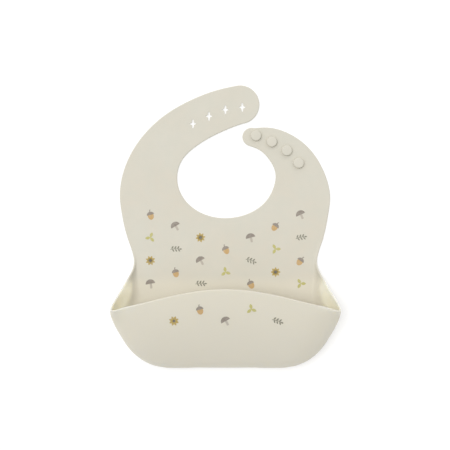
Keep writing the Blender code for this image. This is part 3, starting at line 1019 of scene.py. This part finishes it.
# The print: a half-drop repeat of the motifs, wherever a motif's centre falls inside an area
MOTIFS = (sprig(), mushroom(), daisy(), leaf_trio(), acorn())
MOTIF_TURNS = (-20, 15, 0, 30, -35, 10, 25)
REPEAT_ACROSS = 25.0
REPEAT_UP = 23.0
REPEAT_COLUMNS = range(-4, 5)
REPEAT_ROWS = range(-6, 3)
CHEST_PRINT_AREA = (
    (-76.0, -58.0), (76.0, -58.0), (81.0, -28.0), (90.0, 22.0), (58.0, 18.0), (44.0, 8.0),
    (24.0, 0.0), (0.0, -3.0), (-24.0, 0.0), (-44.0, 8.0), (-58.0, 18.0), (-90.0, 22.0),
    (-81.0, -28.0),
)
POCKET_PRINT_AREA = (
    (-66.0, -102.0), (66.0, -102.0), (70.0, -88.0), (58.0, -84.0), (0.0, -73.0),
    (-58.0, -84.0), (-70.0, -88.0),
)


def half_drop(area):
    """Prints of the repeat over an area: (motif, x, y, turned by in degrees)."""
    prints = []
    for column in REPEAT_COLUMNS:
        for row in REPEAT_ROWS:
            x = column * REPEAT_ACROSS
            y = (row + column % 2 / 2) * REPEAT_UP
            number = 2 * column + row
            if inside(np.array([(x, y)]), np.array(area))[0]:
                motif = MOTIFS[number % len(MOTIFS)]
                prints.append((motif, x, y, MOTIF_TURNS[number % len(MOTIF_TURNS)]))
    return prints


def slab_of_ink(outline, layer, probe):
    """Thin closed slab of ink over the sheet: places, faces and the normals of its corners."""
    closed = np.array([*outline, outline[0]])
    along = lengths_along(closed)
    edge = points_at(closed, along, even_steps(0, along[-1], PRINT_EDGE_SPACING))[:-1]
    if len(edge) < FEWEST_EDGE_POINTS:
        edge = np.array(outline)
    grid = hex_points(edge.min(axis=0), edge.max(axis=0), PRINT_SPACING)
    if len(grid):
        grid = grid[inside(grid, edge)]
        grid = far_from(grid, edge, PRINT_SPACING * GRID_CLEARANCE)
    everything = np.concatenate((edge, grid.reshape(-1, 2)))
    ring = [(i, (i + 1) % len(edge)) for i in range(len(edge))]
    places = [Vector(point) for point in everything]
    found = delaunay_2d_cdt(places, ring, [list(range(len(edge)))], 1, TRIANGULATION_LIMIT)
    hits = [probe(point.x, point.y) for point in found[0]]
    count = len(hits)
    top = [place + normal * (FIRST_LAYER + layer * LAYER_HEIGHT) for place, normal in hits]
    bottom = [place - normal * PRINT_DEPTH for place, normal in hits]
    faces = []
    for face in found[2]:
        faces.append(tuple(face))
        faces.append(tuple(corner + count for corner in reversed(face)))
    directed = {pair for face in found[2] for pair in edges_round(face)}
    for a, b in directed:
        if (b, a) not in directed:
            faces.append((a, a + count, b + count, b))
    normals = [normal for _, normal in hits]
    return [*top, *bottom], faces, [*normals, *normals]


def printed(name, prints, probe, inks):
    """One piece with all these motifs, each shape a thin slab of its ink."""
    places, faces, normals, face_inks = [], [], [], []
    names = sorted({shape[0] for motif in prints for shape in motif[0]})
    for shapes, x, y, turned in prints:
        for ink_name, layer, outline in shapes:
            moved = [turn(point, radians(turned)) + (x, y) for point in outline]
            new_places, new_faces, new_normals = slab_of_ink(moved, layer, probe)
            start = len(places)
            places.extend(new_places)
            normals.extend(new_normals)
            faces.extend(tuple(corner + start for corner in face) for face in new_faces)
            face_inks.extend([names.index(ink_name)] * len(new_faces))
    corner_normals = [normals[corner] for face in faces for corner in face]
    thing = add_piece(name, places, faces, inks[names[0]], corner_normals)
    for other in names[1:]:
        thing.data.materials.append(inks[other])
    thing.data.polygons.foreach_set("material_index", face_inks)
    return thing


# Buttons

def quarter(centre, radius, start, steps):
    """Points along a quarter of a circle, counter-clockwise from a starting angle."""
    angles = [start + pi / 2 * step / steps for step in range(steps + 1)]
    return [(centre[0] + radius * cos(a), centre[1] + radius * sin(a)) for a in angles]


def button_profile(low, high):
    """Half section of a closure button, from its foot inside the sheet up to its crown."""
    front = low + SHEET
    foot = front - BUTTON_FOOT_DEPTH
    shoulder = high - BUTTON_HEAD_HEIGHT
    neck = BUTTON_NECK_RADIUS
    fillet_centre = (neck + BUTTON_FILLET, front + BUTTON_FILLET)
    fillet = quarter(fillet_centre, BUTTON_FILLET, pi, BUTTON_STEPS)[::-1]
    under_centre = (neck + BUTTON_UNDER_FILLET, shoulder - BUTTON_UNDER_FILLET)
    under = quarter(under_centre, BUTTON_UNDER_FILLET, pi / 2, BUTTON_STEPS)[::-1]
    rim_centre = (BUTTON_HEAD_RADIUS - BUTTON_RIM, shoulder + BUTTON_RIM)
    rim = quarter(rim_centre, BUTTON_RIM, -pi / 2, BUTTON_STEPS)
    crown_centre = (BUTTON_HEAD_RADIUS - BUTTON_CROWN, high - BUTTON_DOME - BUTTON_CROWN)
    crown = quarter(crown_centre, BUTTON_CROWN, 0, 2 * BUTTON_STEPS)
    flat = crown_centre[0]
    top = [(flat * share, high - BUTTON_DOME * share**2) for share in BUTTON_DOME_SHARES]
    return [(0.0, foot), (fillet[0][0], foot), *fillet, *under, *rim, *crown, *top, (0.0, high)]


def add_button(name, node, material):
    low, high = (np.array(corner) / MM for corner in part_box(node))
    centre = (low + high) / 2
    sides = BUTTON_SIDES
    profile = button_profile(low[2], high[2])
    places = [(centre[0], centre[1], profile[0][1])]
    for radius, z in profile[1:-1]:
        for i in range(sides):
            angle = 2 * pi * i / sides
            places.append((centre[0] + radius * cos(angle), centre[1] + radius * sin(angle), z))
    places.append((centre[0], centre[1], profile[-1][1]))
    faces = []
    rings = len(profile) - 2
    for i in range(sides):
        j = (i + 1) % sides
        faces.append((0, 1 + j, 1 + i))
        for ring in range(rings - 1):
            lower, upper = 1 + ring * sides, 1 + (ring + 1) * sides
            faces.append((lower + i, lower + j, upper + j, upper + i))
        top = 1 + (rings - 1) * sides
        faces.append((top + i, top + j, len(places) - 1))
    button = add_piece(name, places, faces, material)
    button.data.set_sharp_from_angle(angle=BUTTON_SHARP)
    return button


# Assembly


def bend_across(piece, line, zone):
    """Bakes the piece's transform into its mesh, without bending it; zone is not used."""
    neck, outer, across = flex_frame(line)
    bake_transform(piece)


def bend_at_waist(piece):
    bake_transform(piece)


def bend_with_pocket(piece):
    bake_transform(piece)


def bib():
    shell = Shell(*middle_surface())
    seeds = {"pocket": (0, 2 * WAIST_Y, EDGE_RADIUS), "chest": (0, WAIST_Y / 2, EDGE_RADIUS)}
    for strap, number, neck, outer, across in cut_lines():
        place = (neck + outer) / 2 + across * GRID_SPACING
        seeds[f"{strap}_{number + 1}"] = (*place, EDGE_RADIUS)
    labels = shell.label(seeds)
    assert len(labels) == len(shell.middle_faces), "part of the sheet belongs to no piece"
    numbers = {name: [number for number in labels if labels[number] == name] for name in seeds}
    silicone_sheet = silicone("silicone_sheet")
    # The pocket's material has a painted glow in its colour, besides its real translucency
    pocket_silicone_with_painted_glow = silicone("silicone_pocket_painted_glow", thin_walls_and_painted_glow=True)
    pocket = shell.piece("pocket_shell", sorted(numbers["pocket"]), pocket_silicone_with_painted_glow)
    bend_with_pocket(pocket)
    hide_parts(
        "lower_panel", "pocket_floor", "pocket_front",
        "pocket_gusset_left", "pocket_gusset_right",
    )
    chest = shell.piece("chest_sheet", sorted(numbers["chest"]), silicone_sheet)
    bend_at_waist(chest)
    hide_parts("chest_panel")
    for strap, lines in STRAPS:
        for number, line in enumerate(lines):
            body = f"{strap}_{number + 1}"
            piece = shell.piece(f"{body}_sheet", sorted(numbers[body]), silicone_sheet)
            bend_across(piece, line, STRAP_ZONES[strap][number])
            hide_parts(body)

    button_silicone = silicone("silicone_buttons")
    for number in range(1, BUTTON_COUNT + 1):
        button = add_button(f"snap_button_{number}", f"closure_button_{number}", button_silicone)
        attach(button, f"buttoned_strap_{number}")
        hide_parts(f"closure_button_{number}")

    add_prints(shell)


def add_prints(shell):
    skin = shell.skin_faces(range(len(shell.middle_faces)))
    tree = BVHTree.FromPolygons([tuple(place) for place in shell.places], skin)

    def probe(x, y):
        """Highest place of the sheet at a point of the table, and its smooth normal there."""
        above = Vector((x, y, 2 * SHEET + PROBE_CLEARANCE))
        place, _, number, _ = tree.ray_cast(above, Vector((0, 0, -1)))
        corners = list(skin[number])
        gaps = np.linalg.norm(shell.places[corners] - np.array(place), axis=1)
        weights = 1 / (gaps + SAME_PLACE) ** 2
        return np.array(place), unit(weights @ shell.normals[corners])

    def flat_probe(x, y):
        """Front face of the flat sheet at this point, whatever stands over it."""
        return np.array((x, y, SHEET)), np.array((0.0, 0.0, 1.0))

    inks = {name: ink("ink_" + name, colour, cover) for name, (colour, cover) in INKS.items()}
    chest_print = printed("chest_print", half_drop(CHEST_PRINT_AREA), flat_probe, inks)
    bend_at_waist(chest_print)
    pocket_print = printed("pocket_print", half_drop(POCKET_PRINT_AREA), probe, inks)
    bend_with_pocket(pocket_print)


# Studio

FLOOR_GAP = 0.3
FLOOR_SIZE = 12.0
FLOOR_GLOW = 0.43
FLOOR_ROUGHNESS = 0.9
FLOOR_CLOUD_SIZE = 400
FLOOR_TONES = ((0.61, 0.61, 0.61), (0.64, 0.64, 0.64))
FLOOR_TONE_SHARES = (0.4, 0.6)
WHITE = (1.0, 1.0, 1.0, 1.0)
TENT_BRIGHT = 1.02
TENT_DIM = 0.4
TENT_BRIGHT_SIDE = (-0.1, 1.0, 0.0)
KEY_STRENGTH = 1.15
KEY_SPREAD = radians(30)
KEY_FROM = (-0.3, 0.14, 1.0)
CAMERA_HEIGHT = 1.3
CAMERA_CENTRE = (-0.0005, 0.001)
SENSOR_WIDTH = 36.0
VIEW_WIDTH = 0.45
CLIP_START = 0.05


def floor():
    """Pale, faintly lit table, as in a product studio."""
    material, nodes, links, shader = principled("pale_floor", FLOOR_ROUGHNESS)
    coordinates = nodes.new("ShaderNodeTexCoord").outputs["Object"]
    clouds = noise(nodes, links, coordinates, FLOOR_CLOUD_SIZE)
    tone = spread_between(nodes, links, clouds, *FLOOR_TONE_SHARES)
    links.new(mixed(nodes, links, tone, *FLOOR_TONES), shader.inputs["Base Color"])
    shader.inputs["Emission Color"].default_value = WHITE
    shader.inputs["Emission Strength"].default_value = FLOOR_GLOW
    shader.inputs["Specular IOR Level"].default_value = 0.0
    mesh = bpy.data.meshes.new("studio_floor")
    half = FLOOR_SIZE / 2
    z = -FLOOR_GAP * MM
    corners = [(-half, -half, z), (half, -half, z), (half, half, z), (-half, half, z)]
    mesh.from_pydata(corners, [], [(0, 1, 2, 3)])
    mesh.materials.append(material)
    add_object("studio_floor", mesh)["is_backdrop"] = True


def light_tent():
    """Even light from all round, brighter on one side."""
    world = bpy.data.worlds.new("light_tent")
    world.use_nodes = True
    nodes, links = world.node_tree.nodes, world.node_tree.links
    facing = nodes.new("ShaderNodeVectorMath")
    facing.operation = "DOT_PRODUCT"
    links.new(nodes.new("ShaderNodeTexCoord").outputs["Generated"], facing.inputs[0])
    facing.inputs[1].default_value = TENT_BRIGHT_SIDE
    fade = nodes.new("ShaderNodeMapRange")
    fade.inputs["From Min"].default_value = -1.0
    fade.inputs["To Min"].default_value = TENT_DIM
    fade.inputs["To Max"].default_value = TENT_BRIGHT
    links.new(facing.outputs["Value"], fade.inputs["Value"])
    background = nodes["Background"]
    background.inputs["Color"].default_value = WHITE
    links.new(fade.outputs["Result"], background.inputs["Strength"])
    bpy.context.scene.world = world


def key_light():
    """Broad, soft light from the upper left."""
    light = bpy.data.lights.new("key_light", "SUN")
    light.energy = KEY_STRENGTH
    light.angle = KEY_SPREAD
    lamp = add_object("key_light", light)
    lamp.location = KEY_FROM
    lamp.rotation_euler = (-Vector(KEY_FROM)).to_track_quat("-Z", "Y").to_euler()


def camera_above():
    """Looks straight down, as wide as the object with even margins."""
    camera = bpy.data.cameras.new("camera")
    camera.sensor_width = SENSOR_WIDTH
    camera.lens = SENSOR_WIDTH * CAMERA_HEIGHT / VIEW_WIDTH
    camera.clip_start = CLIP_START
    thing = add_object("camera", camera)
    thing.location = (*CAMERA_CENTRE, CAMERA_HEIGHT)
    bpy.context.scene.camera = thing


def studio():
    floor()
    light_tent()
    key_light()
    camera_above()
    bpy.context.scene.view_settings.view_transform = "Standard"


bib()
studio()

boxes = {"cad": CAD_BOX, "visual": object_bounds()}
{name: [list(corner) for corner in box] for name, box in boxes.items()}
